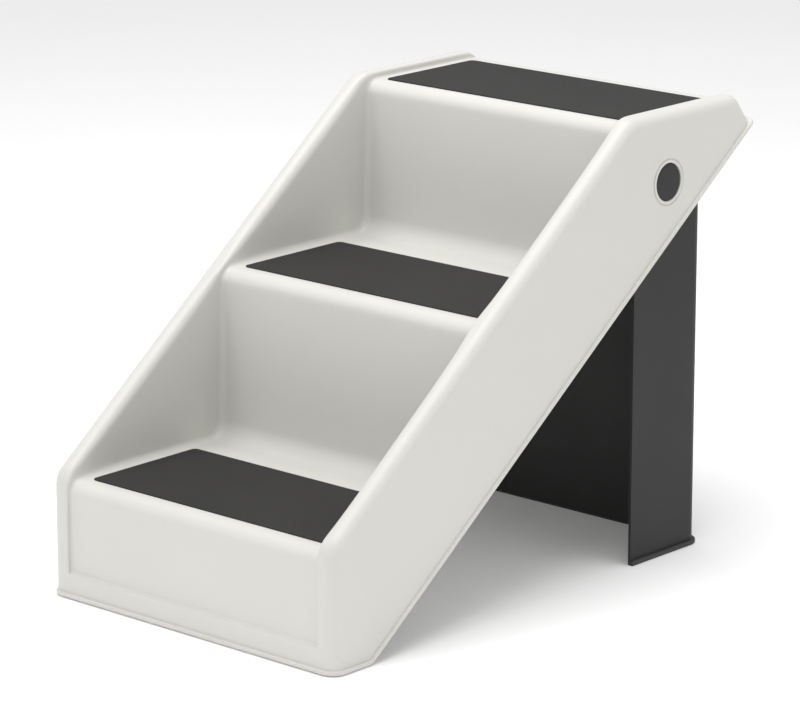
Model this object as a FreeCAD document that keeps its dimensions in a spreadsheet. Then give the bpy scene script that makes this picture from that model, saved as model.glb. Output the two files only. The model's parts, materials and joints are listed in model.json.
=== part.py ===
"""Folding three-tread steps with side rails and a swing-out rear leg.

A one-piece moulded stair shell carries three non-slip mats. A channel-shaped leg
turns on two shoulder bolts high in the side walls and folds forward along the
sloping rim, where a hook under the lowest tread holds it for carrying.

Frame: X across the steps, Y from the front edge to the rear, Z up, millimetres.
Every sub-part is drawn with Y measured from the front edge of the flange and is
then moved back by half the length, so the origin is under the middle of the steps.
"""
import FreeCAD, Part
import math
import os

import Sketcher

os.makedirs("parts", exist_ok=True)
doc = FreeCAD.newDocument("folding_steps")

# ---------------------------------------------------------------- driving dimensions

DIMENSIONS = (
    # the stair shell
    ("wall_width", 415.0),        # outside of one side wall to the other
    ("wall", 3.0),                # thickness of the moulding
    ("channel_width", 367.0),     # between the inner faces of the rails
    ("front_y", 3.0),             # front wall
    ("panel_y", 7.7),             # recessed front panel
    ("panel_foot", 28.5),         # lower edge of the recessed panel
    ("rim_gap", 1.0),             # rim above the floor: the rubber feet carry it
    ("rail_foot", 134.4),         # height where the rail's slope would cross y = 0
    ("rail_slope", 0.778),
    ("rail_top", 508.0),
    ("rear_top_y", 666.8),        # where the rail's level top ends
    ("rear_slope", 1.27),
    ("rim_slope", 0.7456),        # sloping rear rim
    ("rim_drop", 43.55),          # depth below the floor where the rim's line crosses y = 0
    ("crest_radius", 13.0),       # outer edge of the rails and of the front corners
    ("crest_inner_radius", 4.0),
    ("rail_front_radius", 30.0),
    ("rail_knee_radius", 35.0),
    ("rail_rear_radius", 18.0),
    ("kink_radius", 15.0),
    # treads and risers
    ("tread_low", 130.0),
    ("tread_mid", 323.0),
    ("tread_high", 499.5),
    ("riser_mid_y", 246.7),
    ("riser_high_y", 486.6),
    ("riser_draft", 4.5),         # how far a riser's foot stands ahead of its top
    ("nose_radius", 16.0),
    ("base_radius", 22.0),
    ("side_radius", 8.0),         # between a tread or riser and the rails
    # flange round the rim
    ("flange_width", 421.0),
    ("flange_height", 5.0),
    ("flange_out", 3.0),
    ("flange_front_radius", 18.0),
    ("flange_rear_radius", 9.5),
    ("flange_edge_radius", 1.6),
    # non-slip mats
    ("mat_width", 345.0),
    ("mat_thickness", 1.4),
    ("mat_radius", 6.0),
    ("mat_low_y", 30.5),
    ("mat_low_depth", 158.0),
    ("mat_mid_y", 269.0),
    ("mat_mid_depth", 156.0),
    ("mat_high_y", 504.0),
    ("mat_high_depth", 150.0),
    # pivot of the leg, and what turns on it
    ("pivot_y", 543.0),
    ("pivot_z", 430.0),
    ("ring_radius", 24.4),
    ("ring_height", 1.0),         # bead round the recess, above the side wall
    ("recess_radius", 21.1),
    ("floor_out", 202.4),         # outer face of the floor of the pivot recess
    ("floor_in", 200.0),
    ("hub_radius", 14.0),
    ("hub_end", 187.0),           # inner end of the leg's hub
    ("bolt_radius", 5.0),
    ("bolt_clearance", 0.05),
    ("thread_radius", 4.0),
    ("head_radius", 11.0),
    ("head_height", 2.8),
    ("bush_radius", 7.0),
    ("bush_flange_radius", 11.0),
    ("bush_flange", 1.0),
    ("nut_radius", 7.4),          # to the corners of the hexagon
    ("nut_height", 6.4),
    ("nut_end", 178.8),           # inner face of the nut
    ("cap_radius", 20.8),
    ("cap_face", 207.9),
    ("cap_thickness", 1.6),
    # swing-out leg
    ("leg_width", 396.0),
    ("leg_wall", 3.5),
    ("leg_front_y", 498.0),
    ("leg_rear_y", 619.5),
    ("leg_top", 488.0),
    ("leg_foot", 2.0),
    ("leg_corner_radius", 17.0),
    ("leg_head_radius", 42.0),
    ("leg_brace", 12.0),          # depth of the shelf along the top of the rear panel
    ("boot_out", 4.0),            # how far the boot stands out from the leg
    ("boot_height", 5.0),
    ("boot_edge_radius", 1.6),
    # ribs, feet and bumpers
    ("rib", 2.5),
    ("rib_depth", 14.0),
    ("rib_start", 12.0),          # from the front of a tread to the front of its ribs
    ("rib_end", 190.0),
    ("rib_end_high", 110.0),
    ("foot_length", 40.0),
    ("foot_depth", 34.0),
    ("foot_y", 9.0),
    ("foot_x", 168.0),
    ("foot_height", 7.0),
    ("foot_block_height", 11.0),
    ("foot_block_wall", 3.0),     # at the sides of the foot
    ("foot_block_lap", 4.0),      # ahead of the foot, into the front wall
    ("bumper_radius", 9.0),
    ("bumper_x", 120.0),
    ("bumper_y", 613.0),
    ("bumper_gap", 0.3),
    ("bumper_ring", 2.5),         # wall of the ring that holds the bumper
    ("bumper_ring_depth", 4.5),
    # storage hook
    ("hook_y", 195.0),
    ("hook_z", 110.5),
    ("hook_width", 20.0),
    ("hook_eye_radius", 5.0),
    ("hook_pin_radius", 2.5),
    ("pin_head_lip", 1.5),
    ("pin_head_height", 1.2),
    ("plate_length", 60.0),
    ("plate_depth", 24.0),
    ("plate", 2.5),               # thickness of the bracket's sheet
    ("hook_boss_depth", 8.0),
    ("ear_radius", 6.0),
    ("ear_gap", 0.5),             # between the hook and each ear
    ("screw_x", 22.0),
    ("screw_radius", 1.7),
)

dims = doc.addObject("Spreadsheet::Sheet", "dims")
for row, (alias, size) in enumerate(DIMENSIONS, start=1):
    dims.set(f"A{row}", alias)
    dims.set(f"B{row}", str(size))
    dims.setAlias(f"B{row}", alias)
SHIFT_ROW = len(DIMENSIONS) + 1
dims.set(f"A{SHIFT_ROW}", "half_length")
dims.set(f"B{SHIFT_ROW}", "0")
dims.setAlias(f"B{SHIFT_ROW}", "half_length")
doc.recompute()


def size_of(alias):
    """The number in the sheet's cell of that name."""
    return float(getattr(dims, alias))


# ---------------------------------------------------------------- expressions

RIM_SECANT = "sqrt(1 + dims.rim_slope ^ 2)"
RAIL_SECANT = "sqrt(1 + dims.rail_slope ^ 2)"
REAR_SECANT = "sqrt(1 + dims.rear_slope ^ 2)"


def rim_at(y):
    """Height of the sloping rim at y."""
    return f"(dims.rim_slope * ({y}) - dims.rim_drop)"


def rail_at(y, inset="0"):
    """Height of the rail's slope at y, for a line that lies inset inside it."""
    return f"(dims.rail_foot + dims.rail_slope * ({y}) - ({inset}) * {RAIL_SECANT})"


# ---------------------------------------------------------------- helpers

def new_body(name):
    return doc.addObject("PartDesign::Body", name)


def bind(thing, **expressions):
    """Bind properties of a feature to expressions."""
    for name, expression in expressions.items():
        thing.setExpression(name.replace("__", "."), expression)
    return thing


def add_sketch(body, name, role):
    """A sketch on one of the body's own origin planes."""
    sketch = body.newObject("Sketcher::SketchObject", name)
    plane = [item for item in body.Origin.OriginFeatures if item.Role == role][0]
    sketch.AttachmentSupport = [(plane, "")]
    sketch.MapMode = "FlatFace"
    return sketch


def draw_polygon(sketch, corners):
    """A closed outline whose corners are pairs of expressions from the origin."""
    count = len(corners)
    start = [
        FreeCAD.Vector(100 * math.cos(2 * math.pi * k / count), 100 * math.sin(2 * math.pi * k / count), 0)
        for k in range(count)
    ]
    for k in range(count):
        sketch.addGeometry(Part.LineSegment(start[k], start[(k + 1) % count]), False)
    for k in range(count):
        sketch.addConstraint(Sketcher.Constraint("Coincident", k, 2, (k + 1) % count, 1))
    for k, (across, up) in enumerate(corners):
        for kind, expression in (("DistanceX", across), ("DistanceY", up)):
            index = sketch.addConstraint(Sketcher.Constraint(kind, -1, 1, k, 1, 1.0))
            sketch.setExpression(f"Constraints[{index}]", expression)
    return sketch


def extrude(body, kind, name, sketch, length):
    """A Pad or Pocket that runs the same way to both sides of its sketch."""
    feature = body.newObject(f"PartDesign::{kind}", name)
    feature.Profile = sketch
    feature.SideType = "Symmetric"
    feature.setExpression("Length", length)
    doc.recompute()
    return feature


def edge_names(feature, test):
    """Names of the feature's edges that pass the test."""
    names = []
    for index, edge in enumerate(feature.Shape.Edges, start=1):
        if test(edge):
            names.append(f"Edge{index}")
    if not names:
        raise RuntimeError(f"no edge of {feature.Name} passes the test")
    return names


def fillet(body, name, base, names, radius):
    """A PartDesign fillet of the named edges."""
    feature = body.newObject("PartDesign::Fillet", name)
    feature.Base = (base, names)
    feature.setExpression("Radius", radius)
    doc.recompute()
    if not feature.isValid():
        raise RuntimeError(f"fillet {name} failed")
    return feature


def along_x(edge):
    """True for a straight edge that runs across the steps."""
    ends = [vertex.Point for vertex in edge.Vertexes]
    if len(ends) < 2 or edge.Curve.TypeId != "Part::GeomLine":
        return False
    run = ends[1] - ends[0]
    return abs(run.x) > 0.99 * run.Length


def near(edge, y, z, reach=1.0):
    """True for an edge whose middle lies near (y, z) in the side view."""
    middle = edge.CenterOfMass
    return math.hypot(middle.y - y, middle.z - z) < reach


def x_edge(feature, y, z, reach=1.5):
    return edge_names(feature, lambda edge: along_x(edge) and near(edge, y, z, reach))


def box(name, length, width, height, x, y, z):
    """A Part box whose sizes and corner are expressions."""
    solid = doc.addObject("Part::Box", name)
    bind(solid, Length=length, Width=width, Height=height)
    bind(solid, Placement__Base__x=x, Placement__Base__y=y, Placement__Base__z=z)
    return solid


def cylinder_x(name, radius, start, end, y="dims.pivot_y", z="dims.pivot_z"):
    """A Part cylinder along X from start to end, all of them expressions."""
    solid = doc.addObject("Part::Cylinder", name)
    solid.Placement.Rotation = FreeCAD.Rotation(FreeCAD.Vector(0, 1, 0), 90)
    bind(solid, Radius=radius, Height=f"({end}) - ({start})")
    bind(solid, Placement__Base__x=start, Placement__Base__y=y, Placement__Base__z=z)
    return solid


def cylinder_z(name, radius, height, x, y, z):
    """A Part cylinder along Z from z upwards, all of them expressions."""
    solid = doc.addObject("Part::Cylinder", name)
    bind(solid, Radius=radius, Height=height)
    bind(solid, Placement__Base__x=x, Placement__Base__y=y, Placement__Base__z=z)
    return solid


def mirror_x(name, source):
    """The source reflected in the middle plane of the steps."""
    mirror = doc.addObject("Part::Mirroring", name)
    mirror.Source = source
    mirror.Normal = FreeCAD.Vector(1, 0, 0)
    return mirror


def fuse(name, parts):
    joined = doc.addObject("Part::MultiFuse", name)
    joined.Shapes = parts
    return joined


def cut(name, base, tool):
    result = doc.addObject("Part::Cut", name)
    result.Base = base
    result.Tool = tool
    return result


def group(name, parts):
    """Separate solids kept together in one sub-part."""
    compound = doc.addObject("Part::Compound", name)
    compound.Links = parts
    return compound


SUB_PARTS = []


def keep(item, label):
    """Name a finished sub-part and move it so that the origin is under the middle."""
    item.Label = label
    item.setExpression("Placement.Base.y", "-dims.half_length")
    SUB_PARTS.append(item)
    return item


def keep_pair(item, label, y, z=None):
    """Name a sub-part of the right-hand side, set it at y from the front, and add its twin."""
    item.Label = f"{label}_right"
    item.setExpression("Placement.Base.y", f"{y} - dims.half_length")
    if z:
        item.setExpression("Placement.Base.z", z)
    twin = mirror_x(f"{label}_left", item)
    twin.Label = f"{label}_left"
    SUB_PARTS.extend((item, twin))


# ---------------------------------------------------------------- the stair shell

REAR_Y = (
    "((dims.rail_top + dims.rear_slope * dims.rear_top_y + dims.rim_drop)"
    " / (dims.rim_slope + dims.rear_slope))"
)
KINK_Y = "((dims.rim_gap + dims.rim_drop) / dims.rim_slope)"


def side_outline(inset):
    """Corners of the side view, drawn inset inside the outer faces."""
    front = f"(dims.front_y + {inset})"
    top = f"(dims.rail_top - {inset})"
    knee = f"(({top} - dims.rail_foot + ({inset}) * {RAIL_SECANT}) / dims.rail_slope)"
    rear = f"(dims.rear_top_y - ({inset}) * ({REAR_SECANT} - 1) / dims.rear_slope)"
    return front, top, knee, rear


def draw_shell_side(sketch):
    """The side view of the whole moulding without its flange."""
    front, top, knee, rear = side_outline("0")
    return draw_polygon(sketch, (
        (front, "dims.rim_gap"),
        (front, rail_at(front)),
        (knee, top),
        (rear, top),
        (REAR_Y, rim_at(REAR_Y)),
        (KINK_Y, "dims.rim_gap"),
    ))


def draw_rail_hollow(sketch):
    """The side view of the space inside a rail, open below the rim."""
    front, top, knee, rear = side_outline("dims.wall")
    below = f"(({REAR_Y}) + 20)"
    return draw_polygon(sketch, (
        (front, "-40"),
        (front, rail_at(front, "dims.wall")),
        (knee, top),
        (rear, top),
        (below, f"{top} - dims.rear_slope * ({below} - {rear})"),
        (KINK_Y, "-40"),
    ))


def draw_flange_side(sketch):
    """The side view of the band along the rim."""
    rear = f"({REAR_Y} + dims.flange_out / {RIM_SECANT})"
    rise = "dims.flange_height"
    upper_rear = f"({rear} - {rise} * dims.rim_slope / {RIM_SECANT})"
    upper_kink = f"((dims.rim_gap + {rise} + dims.rim_drop - {rise} * {RIM_SECANT}) / dims.rim_slope)"
    return draw_polygon(sketch, (
        ("0", "dims.rim_gap"),
        ("0", f"dims.rim_gap + {rise}"),
        (upper_kink, f"dims.rim_gap + {rise}"),
        (upper_rear, f"{rim_at(rear)} + {rise} / {RIM_SECANT}"),
        (rear, rim_at(rear)),
        (KINK_Y, "dims.rim_gap"),
    ))


def draw_step_line(sketch):
    """The space above the treads and ahead of the risers and the front panel."""
    beyond = "(dims.rear_top_y + 100)"
    return draw_polygon(sketch, (
        ("-20", "dims.panel_foot"),
        ("dims.panel_y", "dims.panel_foot"),
        ("dims.panel_y", "dims.tread_low"),
        ("dims.riser_mid_y - dims.riser_draft", "dims.tread_low"),
        ("dims.riser_mid_y", "dims.tread_mid"),
        ("dims.riser_high_y - dims.riser_draft", "dims.tread_mid"),
        ("dims.riser_high_y", "dims.tread_high"),
        (beyond, "dims.tread_high"),
        (beyond, "dims.rail_top + 50"),
        ("-20", "dims.rail_top + 50"),
    ))


def round_steps(body, base, depth):
    """Round the noses and the feet of the risers by radii that suit the depth."""
    low = size_of("tread_low") - depth
    mid = size_of("tread_mid") - depth
    high = size_of("tread_high") - depth
    mid_y = size_of("riser_mid_y") + depth
    high_y = size_of("riser_high_y") + depth
    draft = size_of("riser_draft")
    feature = fillet(body, "noses", base,
                     x_edge(base, size_of("panel_y") + depth, low)
                     + x_edge(base, mid_y, mid)
                     + x_edge(base, high_y, high), f"dims.nose_radius - {depth}")
    feature = fillet(body, "riser_feet", feature,
                     x_edge(feature, mid_y - draft, low)
                     + x_edge(feature, high_y - draft, mid), f"dims.base_radius + {depth}")
    return feature


shell = new_body("shell_outside")
side_view = draw_shell_side(add_sketch(shell, "side_view", "YZ_Plane"))
side = extrude(shell, "Pad", "side_block", side_view, "dims.wall_width")


FRONT_TOP = size_of("rail_foot") + size_of("rail_slope") * size_of("front_y")
rounded = fillet(shell, "front_corner", side, x_edge(side, size_of("front_y"), FRONT_TOP),
                 "dims.rail_front_radius")
rounded = fillet(shell, "knee_corner", rounded,
                 x_edge(rounded, (size_of("rail_top") - size_of("rail_foot")) / size_of("rail_slope"),
                        size_of("rail_top")), "dims.rail_knee_radius")
rounded = fillet(shell, "rear_corner", rounded,
                 x_edge(rounded, size_of("rear_top_y"), size_of("rail_top")), "dims.rail_rear_radius")
rounded = fillet(shell, "crest_outer", rounded, edge_names(
    rounded, lambda edge: near(edge, size_of("front_y"), 60, 25)
    and abs(abs(edge.CenterOfMass.x) - size_of("wall_width") / 2) < 0.1), "dims.crest_radius")

flange = new_body("flange_ring")
flange_view = draw_flange_side(add_sketch(flange, "flange_view", "YZ_Plane"))
band = extrude(flange, "Pad", "flange_band", flange_view, "dims.flange_width")
band = fillet(flange, "flange_kink", band, edge_names(
    band, lambda edge: along_x(edge) and abs(edge.CenterOfMass.z - size_of("rim_gap")) < 0.1
    and edge.CenterOfMass.y > 20), "dims.kink_radius")
band = fillet(flange, "flange_front", band, edge_names(
    band, lambda edge: abs(edge.CenterOfMass.y) < 0.1 and not along_x(edge)), "dims.flange_front_radius")
band = fillet(flange, "flange_rear", band, edge_names(
    band, lambda edge: edge.CenterOfMass.y > size_of("rear_top_y") + 10 and not along_x(edge)
    and edge.Length < 1.5 * size_of("flange_height")), "dims.flange_rear_radius")
band = fillet(flange, "flange_edge", band, edge_names(
    band, lambda edge: abs(edge.CenterOfMass.y) < 0.1), "dims.flange_edge_radius")

steps = new_body("step_space")
step_view = draw_step_line(add_sketch(steps, "step_view", "YZ_Plane"))
space = extrude(steps, "Pad", "step_block", step_view, "dims.channel_width")
space = round_steps(steps, space, 0.0)
fillet(steps, "step_sides", space, edge_names(
    space, lambda edge: edge.Curve.TypeId == "Part::GeomLine" and not along_x(edge)
    and abs(edge.CenterOfMass.z - size_of("tread_low")) < 0.1), "dims.side_radius")

under = new_body("under_space")


def draw_under_space(sketch):
    """The side view of the hollow under the treads, open below the rim."""
    front, top, _, rear = side_outline("dims.wall")
    below = f"(({REAR_Y}) + 20)"
    ceiling = "(dims.tread_high - dims.wall)"
    return draw_polygon(sketch, (
        (front, "-40"),
        (front, "dims.panel_foot - dims.wall"),
        ("dims.panel_y + dims.wall", "dims.panel_foot - dims.wall"),
        ("dims.panel_y + dims.wall", "dims.tread_low - dims.wall"),
        ("dims.riser_mid_y - dims.riser_draft + dims.wall", "dims.tread_low - dims.wall"),
        ("dims.riser_mid_y + dims.wall", "dims.tread_mid - dims.wall"),
        ("dims.riser_high_y - dims.riser_draft + dims.wall", "dims.tread_mid - dims.wall"),
        ("dims.riser_high_y + dims.wall", ceiling),
        (f"{rear} + ({top} - {ceiling}) / dims.rear_slope", ceiling),
        (below, f"{top} - dims.rear_slope * ({below} - {rear})"),
        (KINK_Y, "-40"),
    ))


under_view = draw_under_space(add_sketch(under, "under_view", "YZ_Plane"))
hollow = extrude(under, "Pad", "under_block", under_view, "dims.channel_width + 2 * dims.wall + 1")
round_steps(under, hollow, size_of("wall"))

rail_space = new_body("rail_space")
rail_view = draw_rail_hollow(add_sketch(rail_space, "rail_view", "YZ_Plane"))
rail_view.setExpression("AttachmentOffset.Base.z", "(dims.wall_width + dims.channel_width) / 4")
slot = extrude(rail_space, "Pad", "rail_slot", rail_view,
               "(dims.wall_width - dims.channel_width) / 2 - 2 * dims.wall")
slot = fillet(rail_space, "slot_front", slot, edge_names(
    slot, lambda edge: along_x(edge) and edge.CenterOfMass.y < 20 and edge.CenterOfMass.z > 50),
    "dims.rail_front_radius - dims.wall")
slot = fillet(rail_space, "slot_knee", slot, edge_names(
    slot, lambda edge: along_x(edge) and edge.CenterOfMass.z > size_of("rail_top") - 5
    and edge.CenterOfMass.y < size_of("pivot_y")), "dims.rail_knee_radius - dims.wall")
slot = fillet(rail_space, "slot_rear", slot, edge_names(
    slot, lambda edge: along_x(edge) and edge.CenterOfMass.z > size_of("rail_top") - 5
    and edge.CenterOfMass.y > size_of("pivot_y")), "dims.rail_rear_radius - dims.wall")
fillet(rail_space, "slot_crest", slot, edge_names(
    slot, lambda edge: edge.Curve.TypeId == "Part::GeomLine" and not along_x(edge)
    and edge.CenterOfMass.x > size_of("wall_width") / 2 - size_of("wall") - 0.1
    and edge.CenterOfMass.z > size_of("rail_top") - 5), "dims.crest_radius - dims.wall")

channelled = cut("channelled", shell, steps)
doc.recompute()
crest = doc.addObject("Part::Fillet", "crest_inner")
crest.Base = channelled
crest.Edges = [
    (index, size_of("crest_inner_radius"), size_of("crest_inner_radius"))
    for index, edge in enumerate(channelled.Shape.Edges, start=1)
    if edge.Curve.TypeId == "Part::GeomLine"
    and abs(abs(edge.CenterOfMass.x) - size_of("channel_width") / 2) < 0.1
    and abs(edge.CenterOfMass.z - size_of("rail_top")) < 0.1
]
doc.recompute()
outside = fuse("outside", [crest, flange])
inside = fuse("inside", [under, rail_space, mirror_x("rail_space_left", rail_space)])
bare_shell = cut("bare_shell", outside, inside)
doc.recompute()


# ---------------------------------------------------------------- bosses, ribs and holes of the shell

LAP = "0.5"                       # how far a joined piece runs into its neighbour
RIB_PLACES = (-130, -65, 65, 130)


def rib_boxes():
    """Front-to-rear stiffening ribs under each tread."""
    spans = (
        ("low", "dims.panel_y", "dims.rib_end"),
        ("mid", "dims.riser_mid_y", "dims.rib_end"),
        ("high", "dims.riser_high_y", "dims.rib_end_high"),
    )
    ribs = []
    for level, front, end in spans:
        for place, x in enumerate(RIB_PLACES, start=1):
            ribs.append(box(f"rib_{level}_{place}", "dims.rib", f"{end} - dims.rib_start",
                            f"dims.rib_depth + {LAP}", f"{x} - dims.rib / 2", f"{front} + dims.rib_start",
                            f"dims.tread_{level} - dims.wall - dims.rib_depth"))
    return ribs


def pivot_boss():
    """Solid boss behind the recess, with the raised bead round it on the outside."""
    blank = cylinder_x("pivot_boss_blank", "dims.ring_radius", "dims.floor_in",
                       "dims.wall_width / 2 + dims.ring_height")
    doc.recompute()
    boss = doc.addObject("Part::Fillet", "pivot_boss")
    boss.Base = blank
    radius = 0.8 * size_of("ring_height")
    boss.Edges = [
        (index, radius, radius) for index, edge in enumerate(blank.Shape.Edges, start=1)
        if edge.Curve.TypeId == "Part::GeomCircle" and edge.CenterOfMass.x > size_of("wall_width") / 2
    ]
    return boss


right_boss = pivot_boss()
additions = [bare_shell, right_boss, mirror_x("pivot_boss_left", right_boss)] + rib_boxes()

foot_block = box("foot_block", "dims.foot_length + 2 * dims.foot_block_wall",
                 "dims.foot_depth + dims.foot_block_lap + dims.foot_block_wall", "dims.foot_block_height",
                 "dims.foot_x - dims.foot_length / 2 - dims.foot_block_wall",
                 "dims.foot_y - dims.foot_block_lap", "dims.rim_gap")
bumper_ring = cylinder_z("bumper_ring", "dims.bumper_radius + dims.bumper_ring",
                         f"dims.bumper_ring_depth + {LAP}", "dims.bumper_x", "dims.bumper_y",
                         "dims.tread_high - dims.wall - dims.bumper_ring_depth")
hook_boss = box("hook_boss", "dims.plate_length", "dims.plate_depth", "dims.hook_boss_depth + 1",
                "-dims.plate_length / 2", "dims.hook_y - dims.plate_depth / 2",
                "dims.tread_low - dims.wall - dims.hook_boss_depth")
additions += [foot_block, mirror_x("foot_block_left", foot_block)]
additions += [bumper_ring, mirror_x("bumper_ring_left", bumper_ring), hook_boss]
solid_shell = fuse("solid_shell", additions)

recess = cylinder_x("recess", "dims.recess_radius", "dims.floor_out", "dims.wall_width / 2 + 20")
bolt_hole = cylinder_x("bolt_hole", "dims.bolt_radius + dims.bolt_clearance", "dims.floor_in - 20",
                       "dims.wall_width / 2")
foot_pocket = box("foot_pocket", "dims.foot_length", "dims.foot_depth", "dims.foot_height",
                  "dims.foot_x - dims.foot_length / 2", "dims.foot_y", "0")
bumper_seat = cylinder_z("bumper_seat", "dims.bumper_radius", "10", "dims.bumper_x", "dims.bumper_y",
                         "dims.tread_high - dims.wall - 10")
screw_hole = cylinder_z("screw_hole", "dims.screw_radius", "12", "dims.screw_x", "dims.hook_y",
                        "dims.tread_low - dims.wall - 12")
openings = [recess, bolt_hole, foot_pocket, bumper_seat, screw_hole]
openings += [mirror_x(f"{item.Name}_left", item) for item in openings]
step_body = keep(cut("step_body", solid_shell, fuse("shell_openings", openings)), "step_body")


# ---------------------------------------------------------------- non-slip mats

def mat(level, tread):
    body = new_body(f"mat_{level}")
    outline = draw_polygon(add_sketch(body, f"mat_{level}_view", "XY_Plane"), (
        ("-dims.mat_width / 2", f"dims.mat_{level}_y"),
        ("dims.mat_width / 2", f"dims.mat_{level}_y"),
        ("dims.mat_width / 2", f"dims.mat_{level}_y + dims.mat_{level}_depth"),
        ("-dims.mat_width / 2", f"dims.mat_{level}_y + dims.mat_{level}_depth"),
    ))
    outline.setExpression("AttachmentOffset.Base.z", f"{tread} + dims.mat_thickness / 2")
    slab = extrude(body, "Pad", f"mat_{level}_slab", outline, "dims.mat_thickness")
    fillet(body, f"mat_{level}_corners", slab, edge_names(
        slab, lambda edge: edge.Length < 2 * size_of("mat_thickness")), "dims.mat_radius")
    return body


keep(mat("low", "dims.tread_low"), "tread_mat_lower")
keep(mat("mid", "dims.tread_mid"), "tread_mat_middle")
keep(mat("high", "dims.tread_high"), "tread_mat_upper")


# ---------------------------------------------------------------- swing-out leg

def draw_channel(sketch, outward):
    """Plan of a channel along the leg's walls, open to the front and thicker outward."""
    outer = f"(dims.leg_width / 2 + {outward})"
    inner = "(dims.leg_width / 2 - dims.leg_wall)"
    return draw_polygon(sketch, (
        (f"-{outer}", "dims.leg_front_y"),
        (f"-{outer}", f"dims.leg_rear_y + {outward}"),
        (outer, f"dims.leg_rear_y + {outward}"),
        (outer, "dims.leg_front_y"),
        (inner, "dims.leg_front_y"),
        (inner, "dims.leg_rear_y - dims.leg_wall"),
        (f"-{inner}", "dims.leg_rear_y - dims.leg_wall"),
        (f"-{inner}", "dims.leg_front_y"),
    ))


def channel_body(name, outward, foot, top):
    """The channel pulled up from foot to top, with rounded upright corners."""
    body = new_body(name)
    plan = draw_channel(add_sketch(body, f"{name}_plan", "XY_Plane"), outward)
    plan.setExpression("AttachmentOffset.Base.z", f"(({foot}) + ({top})) / 2")
    walls = extrude(body, "Pad", f"{name}_walls", plan, f"({top}) - ({foot})")

    def rear_uprights(feature, nearest, furthest):
        """Upright edges whose distance behind the rear face lies between the two."""
        def test(edge):
            ends = [vertex.Point for vertex in edge.Vertexes]
            behind = edge.CenterOfMass.y - size_of("leg_rear_y")
            return abs((ends[1] - ends[0]).z) > 0.99 * edge.Length and nearest < behind < furthest
        return edge_names(feature, test)

    walls = fillet(body, f"{name}_outer", walls, rear_uprights(walls, -1, 10),
                   f"dims.leg_corner_radius + {outward}")
    walls = fillet(body, f"{name}_inner", walls, rear_uprights(walls, -5, -1),
                   "dims.leg_corner_radius - dims.leg_wall")
    return body, walls


leg_channel, leg_walls = channel_body("leg_channel", "0", "dims.leg_foot", "dims.leg_top")
fillet(leg_channel, "leg_head", leg_walls, edge_names(
    leg_walls, lambda edge: along_x(edge) and near(edge, size_of("leg_front_y"), size_of("leg_top"))),
    "dims.leg_head_radius")
leg_shelf = box("leg_shelf", f"dims.leg_width - 2 * (dims.leg_wall - {LAP})", f"dims.leg_brace + {LAP}",
                "dims.leg_wall", f"-(dims.leg_width / 2 - dims.leg_wall + {LAP})",
                "dims.leg_rear_y - dims.leg_wall - dims.leg_brace", "dims.leg_top - dims.leg_wall")
leg_hub = cylinder_x("leg_hub", "dims.hub_radius", "dims.hub_end", f"dims.leg_width / 2 - {LAP}")
leg_block = fuse("leg_block", [leg_channel, leg_hub, mirror_x("leg_hub_left", leg_hub), leg_shelf])
hub_bore = cylinder_x("hub_bore", "dims.bush_radius", "dims.hub_end - 5", "dims.leg_width / 2 + 5")
bores = fuse("hub_bores", [hub_bore, mirror_x("hub_bore_left", hub_bore)])
keep(cut("support_leg", leg_block, bores), "support_leg")

boot, boot_walls = channel_body("boot", "dims.boot_out", "0", "dims.boot_height")
groove, _ = channel_body("boot_groove", "0", "dims.leg_foot", "dims.boot_height + 5")
fillet(boot, "boot_edge", boot_walls, edge_names(
    boot_walls, lambda edge: edge.CenterOfMass.y > size_of("leg_rear_y") + size_of("boot_out") - 0.1
    and along_x(edge)), "dims.boot_edge_radius")
keep(cut("leg_foot_boot", boot, groove), "leg_foot_boot")


# ---------------------------------------------------------------- pivots

def turned(name, outline):
    """A body turned about X from pairs of (x, radius), placed on the pivot's axis."""
    body = new_body(name)
    sketch = draw_polygon(add_sketch(body, f"{name}_section", "XY_Plane"), outline)
    turn = body.newObject("PartDesign::Revolution", f"{name}_turn")
    turn.Profile = sketch
    turn.ReferenceAxis = (sketch, ["H_Axis"])
    turn.Angle = 360
    doc.recompute()
    return body


def tube_outline(inner, outer, start, end):
    return ((start, inner), (end, inner), (end, outer), (start, outer))


BOLT_BORE = "dims.bolt_radius + dims.bolt_clearance"
HEAD_TOP = "dims.floor_out + dims.head_height"
SHOULDER_END = "dims.hub_end - 0.2"
THREAD_END = "dims.nut_end - 1.3"
WASHER_END = "dims.nut_end + dims.nut_height"

bolt = turned("pivot_bolt", (
    (THREAD_END, "0"),
    (f"{HEAD_TOP} - 1.6", "0"),
    (f"{HEAD_TOP} - 1.6", "3"),
    (HEAD_TOP, "3"),
    (HEAD_TOP, "dims.head_radius - 0.8"),
    (f"{HEAD_TOP} - 0.8", "dims.head_radius"),
    ("dims.floor_out", "dims.head_radius"),
    ("dims.floor_out", "dims.bolt_radius"),
    (SHOULDER_END, "dims.bolt_radius"),
    (SHOULDER_END, "dims.thread_radius"),
    (f"{THREAD_END} + 0.6", "dims.thread_radius"),
    (THREAD_END, "dims.thread_radius - 0.6"),
))
bush = turned("pivot_bush", (
    ("dims.hub_end", BOLT_BORE),
    ("dims.leg_width / 2 + dims.bush_flange", BOLT_BORE),
    ("dims.leg_width / 2 + dims.bush_flange", "dims.bush_flange_radius"),
    ("dims.leg_width / 2", "dims.bush_flange_radius"),
    ("dims.leg_width / 2", "dims.bush_radius"),
    ("dims.hub_end", "dims.bush_radius"),
))
friction_washer = turned("friction_washer", tube_outline(
    "dims.bolt_radius + 0.15", "dims.bush_flange_radius - 0.5",
    "dims.leg_width / 2 + dims.bush_flange + 0.1", "dims.floor_in"))
washer = turned("pivot_washer", tube_outline(
    "dims.thread_radius + 0.1", "dims.bush_radius + 1", WASHER_END, SHOULDER_END))
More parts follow.
